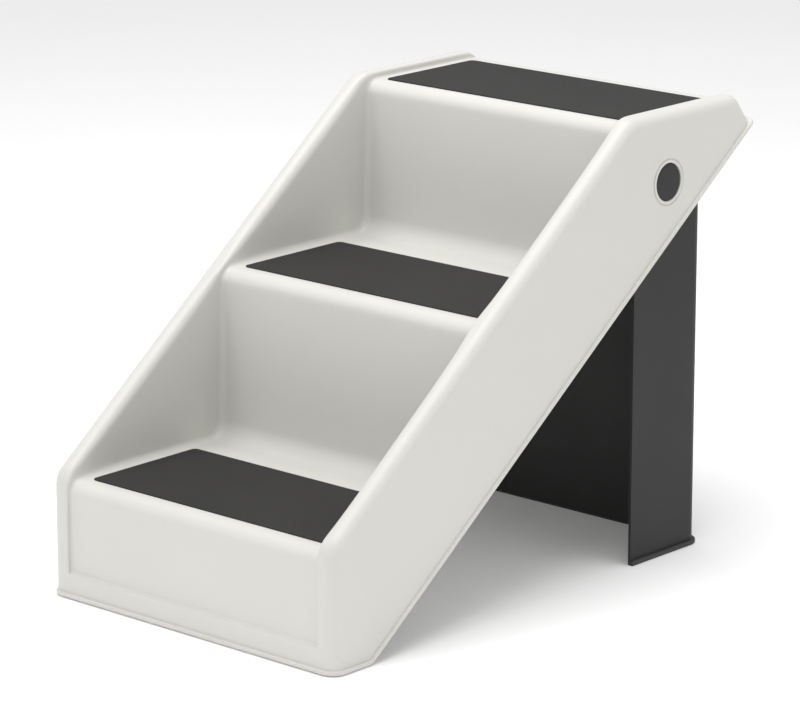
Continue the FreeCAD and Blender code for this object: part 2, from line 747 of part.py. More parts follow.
cap = turned("pivot_cap", (
    ("dims.floor_out", "dims.cap_radius - dims.cap_thickness"),
    ("dims.cap_face - dims.cap_thickness", "dims.cap_radius - dims.cap_thickness"),
    ("dims.cap_face - dims.cap_thickness", "0"),
    ("dims.cap_face", "0"),
    ("dims.cap_face", "dims.cap_radius - 0.8"),
    ("dims.cap_face - 0.8", "dims.cap_radius"),
    ("dims.floor_out", "dims.cap_radius"),
))
nut_blank = doc.addObject("Part::Prism", "nut_blank")
nut_blank.Polygon = 6
bind(nut_blank, Circumradius="dims.nut_radius", Height="dims.nut_height")
nut_hole = doc.addObject("Part::Cylinder", "nut_hole")
bind(nut_hole, Radius="dims.thread_radius + 0.02", Height="dims.nut_height + 1")
for blank in (nut_blank, nut_hole):
    blank.Placement.Rotation = FreeCAD.Rotation(FreeCAD.Vector(0, 1, 0), 90)
nut = cut("pivot_nut", nut_blank, nut_hole)
bind(nut, Placement__Base__x="dims.nut_end")

PIVOT_PIECES = (
    (bolt, "pivot_bolt"),
    (bush, "pivot_bush"),
    (friction_washer, "friction_washer"),
    (washer, "pivot_washer"),
    (cap, "pivot_cap"),
    (nut, "pivot_nut"),
)
for piece, label in PIVOT_PIECES:
    keep_pair(piece, label, "dims.pivot_y", "dims.pivot_z")


# ---------------------------------------------------------------- feet and bumpers

front_foot = box("front_foot", "dims.foot_length", "dims.foot_depth", "dims.foot_height",
                 "dims.foot_x - dims.foot_length / 2", "0", "0")
leg_bumper = cylinder_z("leg_bumper", "dims.bumper_radius",
                        "dims.tread_high - dims.wall - dims.leg_top - dims.bumper_gap",
                        "dims.bumper_x", "0", "dims.leg_top + dims.bumper_gap")
keep_pair(front_foot, "front_foot", "dims.foot_y")
keep_pair(leg_bumper, "leg_bumper", "dims.bumper_y")


# ---------------------------------------------------------------- storage hook

PLATE_TOP = "(dims.tread_low - dims.wall - dims.hook_boss_depth)"
PLATE_FOOT = f"({PLATE_TOP} - dims.plate)"
EAR_START = "(dims.hook_width / 2 + dims.ear_gap)"
EAR_END = f"({EAR_START} + dims.plate)"

plate = box("hook_plate", "dims.plate_length", "dims.plate_depth", "dims.plate",
            "-dims.plate_length / 2", "dims.hook_y - dims.plate_depth / 2", PLATE_FOOT)
ear_web = box("ear_web", "dims.plate", "2 * dims.ear_radius", f"{PLATE_FOOT} - dims.hook_z + {LAP}",
              EAR_START, "dims.hook_y - dims.ear_radius", "dims.hook_z")
ear_end = cylinder_x("ear_end", "dims.ear_radius", EAR_START, EAR_END, "dims.hook_y", "dims.hook_z")
ear = fuse("ear", [ear_web, ear_end])
bracket_blank = fuse("bracket_blank", [plate, ear, mirror_x("ear_left", ear)])
pin_hole = cylinder_x("bracket_pin_hole", "dims.hook_pin_radius", f"-({EAR_END} + 5)", f"{EAR_END} + 5",
                      "dims.hook_y", "dims.hook_z")
plate_hole = cylinder_z("plate_hole", "dims.screw_radius + 0.3", "3 * dims.plate", "dims.screw_x",
                        "dims.hook_y", f"{PLATE_FOOT} - dims.plate")
bracket_holes = fuse("bracket_holes", [pin_hole, plate_hole, mirror_x("plate_hole_left", plate_hole)])
keep(cut("hook_bracket", bracket_blank, bracket_holes), "hook_bracket")

pin_shank = cylinder_x("hook_pin_shank", "dims.hook_pin_radius", f"-{EAR_END}", EAR_END,
                       "dims.hook_y", "dims.hook_z")
pin_head = cylinder_x("hook_pin_head", "dims.hook_pin_radius + dims.pin_head_lip", EAR_END,
                      f"{EAR_END} + dims.pin_head_height", "dims.hook_y", "dims.hook_z")
keep(fuse("hook_pin", [pin_shank, pin_head, mirror_x("hook_pin_head_left", pin_head)]), "hook_pin")

hook = new_body("hook")
# the closed hook in the side view, from its pin
HOOK_CORNERS = (
    (0.0, 5.0),
    (47.2, 2.0),
    (51.2, -3.4),
    (56.8, 0.8),
    (59.2, -2.4),
    (53.6, -7.2),
    (47.0, -8.5),
    (0.0, -5.0),
)
PARKED_TURN = math.radians(-175)


def parked(y, z):
    """A corner of the closed hook, turned back to where it is stowed."""
    return (
        f"dims.hook_y + ({y * math.cos(PARKED_TURN) - z * math.sin(PARKED_TURN):.3f})",
        f"dims.hook_z + ({y * math.sin(PARKED_TURN) + z * math.cos(PARKED_TURN):.3f})",
    )


hook_side = add_sketch(hook, "hook_side", "YZ_Plane")
draw_polygon(hook_side, [parked(y, z) for y, z in HOOK_CORNERS])
extrude(hook, "Pad", "hook_arm", hook_side, "dims.hook_width")
hook_eye = cylinder_x("hook_eye", "dims.hook_eye_radius", "-dims.hook_width / 2", "dims.hook_width / 2",
                      "dims.hook_y", "dims.hook_z")
hook_bore = cylinder_x("hook_bore", "dims.hook_pin_radius + dims.bolt_clearance", f"-{EAR_END}", EAR_END,
                       "dims.hook_y", "dims.hook_z")
keep(cut("storage_hook", fuse("hook_blank", [hook, hook_eye]), hook_bore), "storage_hook")

screw_body = new_body("hook_screw")
screw_section = draw_polygon(add_sketch(screw_body, "screw_section", "XZ_Plane"), (
    ("0", f"{PLATE_TOP} + 6"),
    ("dims.screw_radius - 0.7", f"{PLATE_TOP} + 6"),
    ("dims.screw_radius", f"{PLATE_TOP} + 4.5"),
    ("dims.screw_radius", PLATE_FOOT),
    ("dims.screw_radius + 2", PLATE_FOOT),
    ("dims.screw_radius + 2", f"{PLATE_FOOT} - 1"),
    ("dims.screw_radius + 1", f"{PLATE_FOOT} - 2"),
    ("0", f"{PLATE_FOOT} - 2"),
))
screw_turn = screw_body.newObject("PartDesign::Revolution", "screw_turn")
screw_turn.Profile = screw_section
screw_turn.ReferenceAxis = (screw_section, ["V_Axis"])
screw_turn.Angle = 360
bind(screw_body, Placement__Base__x="dims.screw_x", Placement__Base__y="dims.hook_y")
keep(group("hook_screws", [screw_body, mirror_x("hook_screw_left", screw_body)]), "hook_screws")


# ---------------------------------------------------------------- check and write

doc.recompute()
box_of_shell = step_body.Shape.optimalBoundingBox(True, False)
dims.set(f"B{SHIFT_ROW}", str(round((box_of_shell.YMin + box_of_shell.YMax) / 2, 3)))
doc.recompute()

for item in doc.Objects:
    if "Invalid" in item.State or "Error" in item.State:
        raise RuntimeError(f"{item.Name} is {item.State}")
for item in SUB_PARTS:
    if item.Shape.isNull() or not item.Shape.isValid():
        raise RuntimeError(f"{item.Label} has no valid shape")
for item in SUB_PARTS:
    item.Shape.exportStep(f"parts/{item.Label}.step")
    print(f"{item.Label:24s} solids {len(item.Shape.Solids):2d}  volume {item.Shape.Volume:12.1f}")
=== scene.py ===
"""Looks of the folding steps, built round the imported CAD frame. Lengths are in metres."""

import json
import math

import bmesh
import bpy
import numpy as np
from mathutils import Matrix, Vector


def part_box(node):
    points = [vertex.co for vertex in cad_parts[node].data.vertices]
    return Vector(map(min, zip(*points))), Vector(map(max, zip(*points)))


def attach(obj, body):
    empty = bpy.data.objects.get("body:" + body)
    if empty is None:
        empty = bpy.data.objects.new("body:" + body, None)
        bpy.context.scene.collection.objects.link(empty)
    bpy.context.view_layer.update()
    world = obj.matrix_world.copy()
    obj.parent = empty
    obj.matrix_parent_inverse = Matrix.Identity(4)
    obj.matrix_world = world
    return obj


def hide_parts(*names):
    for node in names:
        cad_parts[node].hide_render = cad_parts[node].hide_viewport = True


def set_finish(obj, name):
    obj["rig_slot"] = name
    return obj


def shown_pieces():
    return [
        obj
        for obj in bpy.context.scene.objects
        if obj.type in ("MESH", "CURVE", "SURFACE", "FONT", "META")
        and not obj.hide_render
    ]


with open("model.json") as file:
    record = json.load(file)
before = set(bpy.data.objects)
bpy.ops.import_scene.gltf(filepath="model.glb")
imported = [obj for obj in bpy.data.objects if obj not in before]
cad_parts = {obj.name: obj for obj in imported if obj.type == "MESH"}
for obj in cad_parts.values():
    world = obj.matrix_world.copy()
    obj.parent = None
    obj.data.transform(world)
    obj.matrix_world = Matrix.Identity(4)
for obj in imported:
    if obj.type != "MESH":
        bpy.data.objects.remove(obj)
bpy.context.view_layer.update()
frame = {"nodes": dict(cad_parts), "record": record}

MM = 0.001
scene = bpy.context.scene
nodes = frame["nodes"]
HALF_LENGTH = (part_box("step_body")[1].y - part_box("step_body")[0].y) / 2 / MM

# ---------------------------------------------------------------- sizes of the stair shell, millimetres
# Y is measured from the front edge here and moved back by half the length when a mesh is made.

WALL = 3.0
HALF_WIDTH = 207.5
RAIL_INNER = 183.5
FRONT_Y = 3.0
PANEL_Y = 7.7
RIM_GAP = 1.0
RAIL_FOOT, RAIL_SLOPE = 134.4, 0.778
RAIL_TOP, REAR_TOP_Y, REAR_SLOPE = 508.0, 666.8, 1.27
RIM_DROP, RIM_SLOPE = 43.55, 0.7456
TREADS = (130.0, 323.0, 499.5)
RISERS = (246.7, 486.6)
RISER_DRAFT = 4.5
NOSE, BASE = 16.0, 22.0
CREST_OUTER, CREST_INNER, SIDE_FILLET = 13.0, 11.0, 8.0
SIDE_SOFTNESS, CREST_SOFTNESS = 0.45, 0.55        # how fast those two radii grow with the rail's height
FOOT_STEP, PANEL_FOOT, FOOT_RADIUS = 27.3, 29.7, 2.6

PIVOT_Y, PIVOT_Z = 543.0, 430.0
PIVOT_CENTRE = (0, PIVOT_Y, PIVOT_Z)
RECESS_DEPTH, RECESS_RADIUS = 5.1, 22.5
BOSS_DEPTH, BOSS_RADIUS = 7.5, 24.4
BEAD_RADIUS, BEAD_WIDTH, BEAD_RISE = 23.0, 1.7, 1.4
GROOVE_DEPTH, GROOVE_END, GROOVE_FLARE = 0.9, 25.9, 28.5
BOLT_HOLE = 5.05
CAP_FOOT, CAP_FACE, CAP_RADIUS, CAP_WALL = 202.4, 207.9, 20.8, 1.6

RIB, RIB_START, RIB_HEIGHT = 2.5, 12.0, 14.0
RIB_PLACES = (-130, -65, 65, 130)
RIB_REACH = (190, 190, 110)                       # from each tread's front edge to the rear of its ribs
FOOT_BLOCK = ((145, 5), (191, 46), 12.0)          # near and far corner, and height
FOOT_POCKET = ((148, 9), (188, 43), 7.0)
BUMPER_X, BUMPER_Y = 120, 613
BUMPER_INNER, BUMPER_OUTER, BUMPER_DEPTH = 9.0, 11.5, 4.5
HOOK_BOSS_X, HOOK_BOSS_FRONT, HOOK_BOSS_REAR, HOOK_BOSS_DEPTH = 30, 183, 207, 8.0


# ---------------------------------------------------------------- outlines in the side view

class Outline:
    """A closed outline of straight runs and tangent arcs, with its exact signed distance."""

    def __init__(self, corners):
        """Corners are (y, z, radius), clockwise, with the solid on the right-hand side."""
        points = [np.array(corner[:2], float) for corner in corners]
        count = len(points)
        ends = []
        self.arcs = []
        for k, (_, _, radius) in enumerate(corners):
            before, here, after = points[k - 1], points[k], points[(k + 1) % count]
            back = (before - here) / np.linalg.norm(before - here)
            ahead = (after - here) / np.linalg.norm(after - here)
            half = math.acos(np.clip(back @ ahead, -1, 1)) / 2
            run = radius / math.tan(half)
            ends.append((here + back * run, here + ahead * run))
            if radius:
                middle = (back + ahead) / np.linalg.norm(back + ahead)
                turn = np.sign(back[0] * ahead[1] - back[1] * ahead[0])
                self.arcs.append((here + middle * radius / math.sin(half), radius, -middle,
                                  math.cos(math.pi / 2 - half), turn))
        self.runs = [(ends[k][1], ends[(k + 1) % count][0]) for k in range(count)]

    def distance(self, y, z):
        """Signed distance, negative in the solid."""
        best = np.full(y.shape, np.inf)
        signed = np.zeros(y.shape)
        for start, end in self.runs:
            dy, dz = end - start
            length = math.hypot(dy, dz)
            share = np.clip(((y - start[0]) * dy + (z - start[1]) * dz) / length ** 2, 0, 1)
            off = np.hypot(y - start[0] - share * dy, z - start[1] - share * dz)
            side = np.sign((z - start[1]) * dy - (y - start[0]) * dz)
            closer = off < best
            best = np.where(closer, off, best)
            signed = np.where(closer, off * side, signed)
        for centre, radius, way, reach, turn in self.arcs:
            ry, rz = y - centre[0], z - centre[1]
            out = np.maximum(np.hypot(ry, rz), 1e-9)
            inside = (ry * way[0] + rz * way[1]) / out >= reach - 1e-9
            off = np.abs(out - radius)
            closer = inside & (off < best)
            best = np.where(closer, off, best)
            signed = np.where(closer, (out - radius) * turn, signed)
        return signed


FAR_Y, FAR_Z = 900.0, -140.0                      # past the rim, where both outlines are cut off
REAR_FAR = (FAR_Y, RAIL_TOP - REAR_SLOPE * (FAR_Y - REAR_TOP_Y))
TREAD_END = REAR_TOP_Y + (RAIL_TOP - TREADS[2]) / REAR_SLOPE

rail_line = Outline((
    (FRONT_Y, FAR_Z, 0),
    (FRONT_Y, RAIL_FOOT + RAIL_SLOPE * FRONT_Y, 30),
    ((RAIL_TOP - RAIL_FOOT) / RAIL_SLOPE, RAIL_TOP, 35),
    (REAR_TOP_Y, RAIL_TOP, 18),
    (*REAR_FAR, 0),
    (FAR_Y, FAR_Z, 0),
))
step_line = Outline((
    (FRONT_Y, FAR_Z, 0),
    (FRONT_Y, FOOT_STEP, FOOT_RADIUS),
    (PANEL_Y, PANEL_FOOT, FOOT_RADIUS),
    (PANEL_Y, TREADS[0], NOSE),
    (RISERS[0] - RISER_DRAFT, TREADS[0], BASE),
    (RISERS[0], TREADS[1], NOSE),
    (RISERS[1] - RISER_DRAFT, TREADS[1], BASE),
    (RISERS[1], TREADS[2], NOSE),
    (TREAD_END, TREADS[2], 5),
    (*REAR_FAR, 0),
    (FAR_Y, FAR_Z, 0),
))


def rim_distance(y, z):
    """Signed distance to the rim, negative above it."""
    return np.maximum(RIM_GAP - z, (RIM_SLOPE * y - RIM_DROP - z) / math.hypot(1, RIM_SLOPE))


# ---------------------------------------------------------------- the shell's field

def round_max(a, b, radius):
    """Intersection of two fields with a rounded edge."""
    corner = np.hypot(np.maximum(a + radius, 0), np.maximum(b + radius, 0))
    return np.minimum(np.maximum(a, b), -radius) + corner


def softened(limit, share, gap):
    """A radius that grows with the gap and levels off at its limit."""
    return limit * (1 - np.exp(-share * np.maximum(gap, 0) / limit))


def shell_distance(x, rail, step):
    """Signed distance to the moulding's outer skin from the two side-view distances."""
    gap = step - rail
    block = round_max(rail, np.abs(x) - HALF_WIDTH, CREST_OUTER)
    channel = round_max(-step, np.abs(x) - RAIL_INNER, softened(SIDE_FILLET, SIDE_SOFTNESS, gap))
    return round_max(block, -channel, softened(CREST_INNER, CREST_SOFTNESS, gap))


def shell_field(points):
    """Signed distance to the outer skin at each point."""
    x, y, z = points.T
    return shell_distance(x, rail_line.distance(y, z), step_line.distance(y, z))


def shell_gradient(points, small=0.02):
    """Slope of the field by central differences."""
    gradient = np.empty_like(points)
    for axis in range(3):
        offset = np.zeros(3)
        offset[axis] = small
        gradient[:, axis] = (shell_field(points + offset) - shell_field(points - offset)) / (2 * small)
    return gradient


def settle(points, depth, rounds=12):
    """Move points along the gradient onto the skin that lies depth inside the outer one."""
    for _ in range(rounds):
        value = shell_field(points) + depth
        gradient = shell_gradient(points)
        size = np.maximum((gradient ** 2).sum(1), 0.25)
        points = points - gradient * (0.9 * value / size)[:, None]
    return points


# ---------------------------------------------------------------- the shell's skins

SECTION_TILT = math.radians(30)
ALONG = np.array((math.cos(SECTION_TILT), math.sin(SECTION_TILT)))
UPWARD = np.array((-math.sin(SECTION_TILT), math.cos(SECTION_TILT)))


def height_of(distance, stations, level, low=-400.0, high=700.0):
    """Where each section line crosses the given level of a side-view distance."""
    low = np.full(stations.shape, low)
    high = np.full(stations.shape, high)
    for _ in range(50):
        middle = (low + high) / 2
        y, z = (ALONG[:, None] * stations + UPWARD[:, None] * middle)
        above = distance(y, z) > level
        high = np.where(above, middle, high)
        low = np.where(above, low, middle)
    return (low + high) / 2


def section_stations(start, end, fine, coarse):
    """Places along the slope, close together round the arcs of both outlines and at the rear."""
    marks = []
    for outline in (rail_line, step_line):
        for centre, radius, way, _, _ in outline.arcs:
            marks.append((centre + way * radius) @ ALONG)
    marks = np.array(marks)
    places = [start]
    while places[-1] < end:
        here = places[-1]
        near = np.min(np.abs(marks - here))
        step = np.clip(fine + (near - 22) * 0.12, fine, coarse)
        if here > TREAD_END * ALONG[0] + TREADS[2] * ALONG[1] - 2:
            step = fine * 0.2
        elif here > (REAR_TOP_Y - 16) * ALONG[0] + RAIL_TOP * ALONG[1]:
            step = fine * 0.6
        places.append(here + step)
    return np.array(places)


def spread(length, near_start, near_end, middle, count=7):
    """Distances along a run, close together within near_start and near_end of its ends."""
    ease = np.linspace(0, 1, count)
    head = near_start * ease
    tail = length - near_end * ease[::-1]
    inner = head[-1] + (tail[0] - head[-1]) * np.linspace(0, 1, middle + 2)[1:-1]
    return np.concatenate([head, inner, tail])


def half_section(along, depth, rim_depth):
    """Points of the right half of each section, from the outside wall to the middle."""
    rail = height_of(rail_line.distance, along, -depth)
    step = np.minimum(height_of(step_line.distance, along, -depth), rail)
    foot = height_of(lambda y, z: -rim_distance(y, z), along, -rim_depth)
    outer, inner = HALF_WIDTH - depth, RAIL_INNER + depth
    rows = []
    for place, top, floor, bottom in zip(along, rail, step, foot):
        wall = top - bottom
        near = min(24.0, wall * 0.45)
        down = spread(wall, near, near * 0.1, 6, 9)[::-1]
        drop = top - floor
        crest = min(12.0, drop * 0.5)
        fillet = min(10.0, drop * 0.5)
        across = spread(outer - inner, 12.0, 11.0, 1, 8)
        columns = [(outer, top - d) for d in down]
        columns += [(outer - d, top) for d in across[1:]]
        columns += [(inner, top - d) for d in spread(drop, crest, fillet, 3, 7)[1:]]
        to_middle = spread(inner, 12.0, 0.0, 8, 7)[1:-6]      # its last seven all lie in the middle plane
        columns += [(inner - d, floor) for d in to_middle]
        rows.append([(x, *(ALONG * place + UPWARD * h)) for x, h in columns])
    return np.array(rows)


def skin_solid(name, depth, rim_depth, start, end, fine, coarse):
    """A closed solid inside one skin, carried on below the rim."""
    along = section_stations(start, end, fine, coarse)
    half = half_section(along, depth, rim_depth)
    rows, columns, _ = half.shape
    half = settle(half.reshape(-1, 3), depth).reshape(rows, columns, 3)
    half[:, -1, 0] = 0
    left = half[:, :-1][:, ::-1] * np.array((-1, 1, 1))
    loops = np.concatenate([half, left], axis=1)
    return solid_of_loops(name, loops)


def solid_of_loops(name, loops):
    """A closed mesh through a row of closed loops of points, in millimetres from the front edge."""
    rows, columns, _ = loops.shape
    co = loops.reshape(-1, 3).copy()
    faces = []
    for row in range(rows - 1):
        for k in range(columns):
            a = row * columns + k
            b = row * columns + (k + 1) % columns
            faces.append((a, a + columns, b + columns, b))
    faces.append(tuple(range(columns)))
    faces.append(tuple(range((rows - 1) * columns, rows * columns))[::-1])
    return mesh_object(name, co, faces)


def mesh_object(name, co, faces):
    """A mesh object from millimetres measured from the front edge, facing outward."""
    co = (np.asarray(co) - (0, HALF_LENGTH, 0)) * MM
    mesh = bpy.data.meshes.new(name)
    mesh.from_pydata(co.tolist(), [], faces)
    work = bmesh.new()
    work.from_mesh(mesh)
    bmesh.ops.recalc_face_normals(work, faces=work.faces)
    work.to_mesh(mesh)
    work.free()
    piece = bpy.data.objects.new(name, mesh)
    scene.collection.objects.link(piece)
    return piece


# ---------------------------------------------------------------- plain solids to join and cut with

def prism_x(name, outline, start, end):
    """A prism along X from an outline in the side view."""
    count = len(outline)
    co = [(x, y, z) for x in (start, end) for y, z in outline]
    faces = [tuple(range(count)), tuple(range(count, 2 * count))[::-1]]
    faces += [(k, k + count, (k + 1) % count + count, (k + 1) % count) for k in range(count)]
    return mesh_object(name, co, faces)


def block(name, low, high):
    """A rectangular block between two corners."""
    (x0, y0, z0), (x1, y1, z1) = low, high
    return prism_x(name, ((y0, z0), (y1, z0), (y1, z1), (y0, z1)), x0, x1)


def turned(name, profile, centre, axis, steps=96):
    """A closed solid turned about an axis through the centre; the profile is (along, radius) pairs."""
    along = np.array(axis, float)
    side = np.array((0.0, 1.0, 0.0))
    other = np.cross(along, side)
    loops = []
    for k in range(steps):
        turn = 2 * math.pi * k / steps
        out = side * math.cos(turn) + other * math.sin(turn)
        loops.append([np.array(centre) + along * a + out * r for a, r in profile])
    count = len(profile)
    co = np.array(loops).reshape(-1, 3)
    faces = []
    for k in range(steps):
        for m in range(count):
            if profile[m][1] == profile[(m + 1) % count][1] == 0:
                continue        # a run along the axis sweeps no face
            a, b = k * count + m, k * count + (m + 1) % count
            c, d = ((k + 1) % steps) * count + (m + 1) % count, ((k + 1) % steps) * count + m
            faces.append((a, b, c, d))
    piece = mesh_object(name, co, faces)
    weld(piece)
    return piece


def weld(piece, distance=1e-7):
    """Merge points that coincide and drop the faces that this closes up."""
    work = bmesh.new()
    work.from_mesh(piece.data)
    bmesh.ops.remove_doubles(work, verts=work.verts, dist=distance)
    bmesh.ops.dissolve_degenerate(work, edges=work.edges, dist=distance)
    bmesh.ops.recalc_face_normals(work, faces=work.faces)
    work.to_mesh(piece.data)
    work.free()


def arc(centre, radius, start, end, steps):
    """Points of an arc in a plane, between two angles in degrees."""
    angles = np.radians(np.linspace(start, end, steps))
    return [(centre[0] + radius * math.cos(a), centre[1] + radius * math.sin(a)) for a in angles]


def apply_modifiers(piece):
    """Make the result of the piece's modifiers its own mesh."""
    graph = bpy.context.evaluated_depsgraph_get()
    mesh = bpy.data.meshes.new_from_object(piece.evaluated_get(graph))
    piece.modifiers.clear()
    piece.data = mesh


def combine(piece, operation, others):
    """Join, cut or intersect the piece with other solids, which are used up."""
    for other in others:
        step = piece.modifiers.new(operation.lower(), "BOOLEAN")
        step.operation = operation
        step.solver = "MANIFOLD"
        step.object = other
    apply_modifiers(piece)
    for other in others:
        bpy.data.objects.remove(other)
    return piece


def smooth(piece, angle=32.0):
    """Smooth shading that keeps edges sharper than the angle and leaves flat faces flat."""
    piece.data.shade_smooth()
    piece.data.set_sharp_from_angle(angle=math.radians(angle))
    weighted = piece.modifiers.new("weighted_normals", "WEIGHTED_NORMAL")
    weighted.keep_sharp = True
    apply_modifiers(piece)
    return piece


# ---------------------------------------------------------------- the stair shell

FLANGE_OUT, FLANGE_HEIGHT, FLANGE_EDGE = 3.0, 5.0, 1.9
FLANGE_FRONT, FLANGE_REAR, KINK = 18.0, 9.5, 15.0
RIM_SECANT = math.hypot(1, RIM_SLOPE)
KINK_Y = (RIM_GAP + RIM_DROP) / RIM_SLOPE
REAR_Y = (RAIL_TOP + REAR_SLOPE * REAR_TOP_Y + RIM_DROP) / (RIM_SLOPE + REAR_SLOPE)


def rim_wedge():
    """The space above the rim, wider than the steps."""
    turn = math.atan(RIM_SLOPE)
    run = KINK * math.tan(turn / 2)
    bend = arc((KINK_Y - run, RIM_GAP + KINK), KINK, -90, -90 + math.degrees(turn), 8)
    outline = [(-40, RIM_GAP)] + bend + [(FAR_Y, RIM_SLOPE * FAR_Y - RIM_DROP), (FAR_Y, 700), (-40, 700)]
    return prism_x("rim_wedge", outline, -260, 260)


def rim_path():
    """Outer edge of the flange, as points with their outward and upward directions."""
    half = HALF_WIDTH + FLANGE_OUT
    slope = np.array((0, 1, RIM_SLOPE)) / RIM_SECANT
    rise = np.array((0, -RIM_SLOPE, 1)) / RIM_SECANT
    turn = math.atan(RIM_SLOPE)
    run = KINK * math.tan(turn / 2)
    end_y = REAR_Y + FLANGE_OUT / RIM_SECANT
    corner = np.array((half, end_y, RIM_SLOPE * end_y - RIM_DROP))
    path = [(np.array((0, corner[1], corner[2])), slope, rise)]
    middle = corner - np.array((FLANGE_REAR, 0, 0)) - slope * FLANGE_REAR
    for angle in np.radians(np.linspace(90, 0, 9)):
        out = np.array((math.cos(angle), 0, 0)) + slope * math.sin(angle)
        path.append((middle + out * FLANGE_REAR, out, rise))
    side = np.array((1.0, 0, 0))
    for angle in np.linspace(turn, 0, 9):
        centre = np.array((half, KINK_Y - run, RIM_GAP + KINK))
        down = np.array((0, math.sin(angle), -math.cos(angle)))
        path.append((centre + down * KINK, side, -down))
    up = np.array((0, 0, 1.0))
    for angle in np.radians(np.linspace(0, -90, 13)):
        out = np.array((math.cos(angle), math.sin(angle), 0))
        middle = np.array((half - FLANGE_FRONT, FLANGE_FRONT, RIM_GAP))
        path.append((middle + out * FLANGE_FRONT, out, up))
    mirror = np.array((-1, 1, 1))
    return path + [(p * mirror, out * mirror, rise) for p, out, rise in path[:0:-1]]


def flange():
    """The rounded bead round the rim, with its root inside the wall."""
    edge = FLANGE_EDGE
    profile = [(-9.0, 0.0)]
    profile += arc((-edge, edge), edge, -90, 0, 6)
    profile += arc((-edge, FLANGE_HEIGHT - edge), edge, 0, 90, 6)
    profile += [(-9.0, FLANGE_HEIGHT)]
    loops = [[p + out * a + rise * b for a, b in profile] for p, out, rise in rim_path()]
    loops = np.array(loops)
    rows, columns, _ = loops.shape
    faces = []
    for row in range(rows):
        for k in range(columns):
            a, b = row * columns + k, row * columns + (k + 1) % columns
            c = ((row + 1) % rows) * columns + (k + 1) % columns
            d = ((row + 1) % rows) * columns + k
            faces.append((a, b, c, d))
    return mesh_object("flange", loops.reshape(-1, 3), faces)


def pivot_boss(side):
    """Boss behind the pivot recess, with a raised ring that blends into the wall."""
    face = HALF_WIDTH
    profile = [(face - BOSS_DEPTH, 0.0), (face - BOSS_DEPTH, BOSS_RADIUS), (face - GROOVE_DEPTH, 24.7)]
    profile += [(face - 0.4 + BEAD_RISE * math.sin(a), BEAD_RADIUS + BEAD_WIDTH * math.cos(a))
                for a in np.radians(np.linspace(4, 176, 11))]
    profile += [(face - RECESS_DEPTH, 21.1), (face - RECESS_DEPTH, 0.0)]
    return turned(f"pivot_boss_{side}", [(side * a, r) for a, r in profile], PIVOT_CENTRE, (1, 0, 0))


def ribs():
    """Ribs under the treads, let into them a little."""
    solids = []
    for tread, start, reach in zip(TREADS, (PANEL_Y, *RISERS), RIB_REACH):
        for x in RIB_PLACES:
            low = (x - RIB / 2, start + RIB_START, tread - WALL - RIB_HEIGHT)
            solids.append(block("rib", low, (x + RIB / 2, start + reach, tread - WALL + 0.5)))
    return solids


def corner_block(name, side, corners, bottom):
    """A block near one front corner, from its near and far corner and its top."""
    (near_x, near_y), (far_x, far_y), top = corners
    x0, x1 = sorted((side * near_x, side * far_x))
    return block(name, (x0, near_y, bottom), (x1, far_y, top))


def stair_shell():
    """The moulding: outer skin cut at the rim, hollowed, then its bosses, ribs and holes."""
    shell = skin_solid("stair_shell", 0.0, 60.0, -7.4, 842.6, 1.6, 14.0)
    combine(shell, "INTERSECT", [rim_wedge()])
    combine(shell, "UNION", [flange()])
    hollow = skin_solid("hollow", WALL, 75.0, -12.0, 842.0, 2.6, 22.0)
    recesses = []
    for side in (-1, 1):
        floor, groove, clear = HALF_WIDTH - RECESS_DEPTH, HALF_WIDTH - GROOVE_DEPTH, HALF_WIDTH + 3.0
        profile = [(floor, 0.0), (floor, RECESS_RADIUS), (groove, RECESS_RADIUS),
                   (groove, GROOVE_END), (clear, GROOVE_FLARE), (clear, 0.0)]
        profile = [(side * a, r) for a, r in profile]
        recesses.append(turned("recess", profile, PIVOT_CENTRE, (1, 0, 0)))
    combine(shell, "DIFFERENCE", [hollow])
    combine(shell, "DIFFERENCE", recesses)
    combine(shell, "UNION", [pivot_boss(-1), pivot_boss(1)])
    additions = ribs()
    for side in (-1, 1):
        additions.append(corner_block("foot_block", side, FOOT_BLOCK, RIM_GAP))
        ring = [(0, BUMPER_INNER), (0, BUMPER_OUTER), (5, BUMPER_OUTER), (5, BUMPER_INNER)]
        centre = (side * BUMPER_X, BUMPER_Y, TREADS[2] - WALL - BUMPER_DEPTH)
        additions.append(turned("bumper_ring", ring, centre, (0, 0, 1), 48))
    under = TREADS[0] - WALL
    additions.append(block("hook_boss", (-HOOK_BOSS_X, HOOK_BOSS_FRONT, under - HOOK_BOSS_DEPTH),
                           (HOOK_BOSS_X, HOOK_BOSS_REAR, under + 1)))
    combine(shell, "UNION", additions)
    cuts = []
    for side in (-1, 1):
        cuts.append(corner_block("foot_pocket", side, FOOT_POCKET, -1))
        low, high = sorted((side * 180, side * 210))
        hole = [(low, 0), (low, BOLT_HOLE), (high, BOLT_HOLE), (high, 0)]
        cuts.append(turned("bolt_hole", hole, PIVOT_CENTRE, (1, 0, 0), 48))
    combine(shell, "DIFFERENCE", cuts)
    return smooth(shell)


shell = stair_shell()
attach(shell, "steps")
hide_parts("step_body")
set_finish(shell, "shell_plastic")


# ---------------------------------------------------------------- the other pieces

BODY_OF = {node: body for body, members in frame["record"]["behaviour"]["bodies"].items() for node in members}
SLOT_OF = {part["node"]: part["material_slot"] for part in frame["record"]["subparts"]}


def stands_for(piece, node):
    """The piece takes the node's place: its body and its material slot."""
    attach(piece, BODY_OF[node])
    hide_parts(node)
    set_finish(piece, SLOT_OF[node])
    return piece


